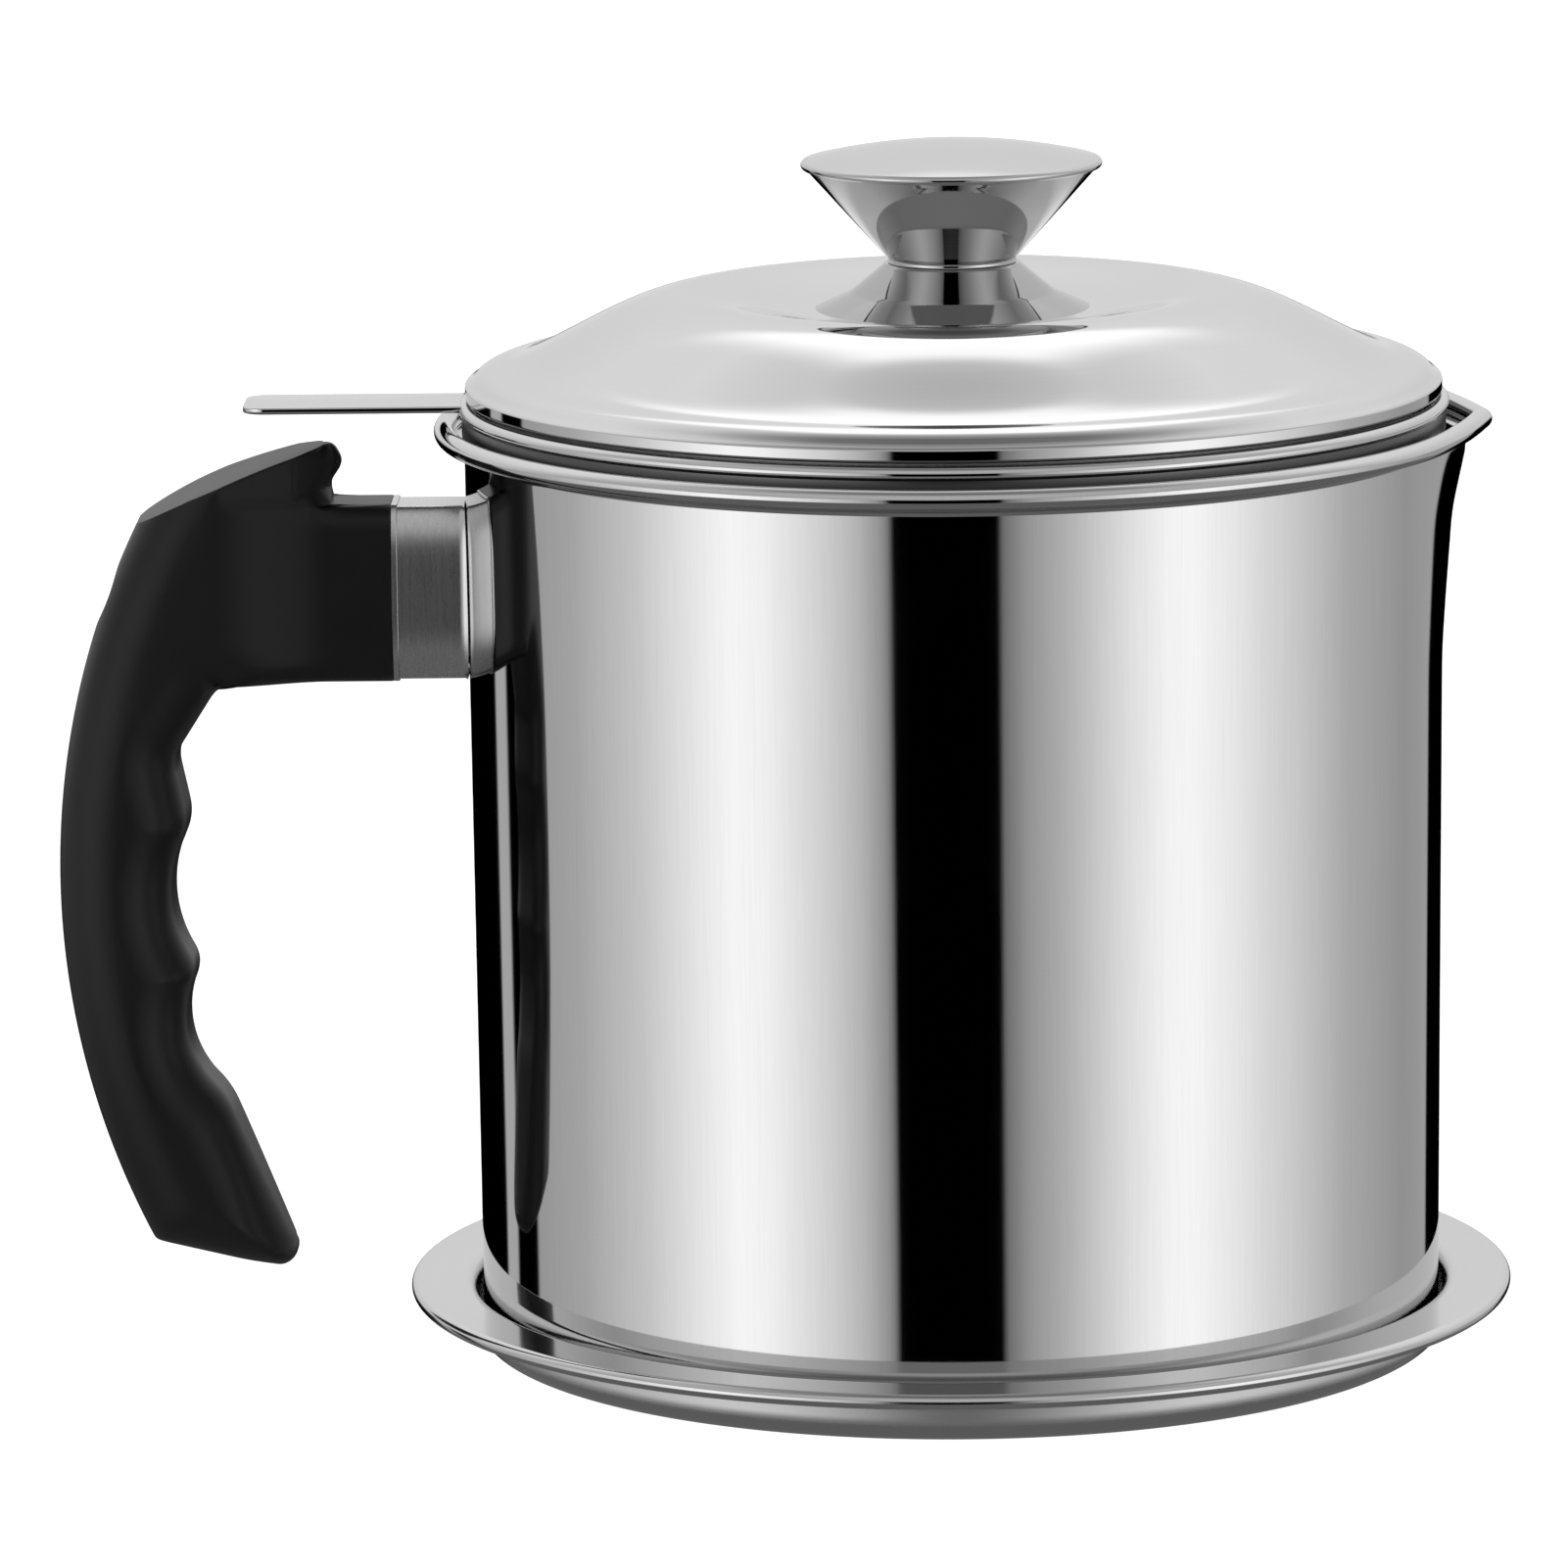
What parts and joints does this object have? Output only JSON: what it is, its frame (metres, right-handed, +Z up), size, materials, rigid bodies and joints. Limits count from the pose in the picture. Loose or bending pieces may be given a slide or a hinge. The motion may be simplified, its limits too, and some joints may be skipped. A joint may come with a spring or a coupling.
{
  "type": "bacon grease container",
  "caption": "Round steel grease pot with a pouring lip and side grip, standing in a drip tray, with a lift-out mesh strainer and a knobbed lid.",
  "frame": {"origin": "centre of the tray's underside, on the pot's axis", "axes": "+Z up along the pot's axis, +X towards the pouring lip, both handles towards -X, Y across"},
  "size_m": [0.1951, 0.1488, 0.162],
  "materials": {
    "polished_steel": "mirror polished stainless steel",
    "satin_steel": "plain satin stainless steel",
    "bakelite": "black moulded bakelite, satin"
  },
  "bodies": {
    "tray": {"base_tray": "polished_steel"},
    "pot": {"pot_body": "polished_steel", "handle_bracket": "satin_steel", "bracket_nut": "satin_steel", "handle_ferrule": "polished_steel", "handle_grip": "bakelite", "handle_screw": "satin_steel", "handle_washer": "satin_steel"},
    "strainer": {"strainer_band": "polished_steel", "strainer_mesh": "satin_steel", "mesh_clamp_ring": "satin_steel", "strainer_handle": "polished_steel"},
    "lid": {"lid_shell": "polished_steel", "lid_locating_ring": "satin_steel", "knob_foot": "polished_steel", "knob_bell": "polished_steel", "knob_cap": "polished_steel", "knob_nut": "satin_steel", "knob_screw": "satin_steel", "knob_washer": "satin_steel"}
  },
  "joints": [
    {"name": "pot_lift", "type": "slide", "parent": "tray", "child": "pot", "axis": [0, 0, 1], "range_m": [0, 0.06]},
    {"name": "strainer_lift", "type": "slide", "parent": "pot", "child": "strainer", "axis": [0, 0, 1], "range_m": [0, 0.05]},
    {"name": "lid_lift", "type": "slide", "parent": "strainer", "child": "lid", "axis": [0, 0, 1], "range_m": [0, 0.04]}
  ]
}
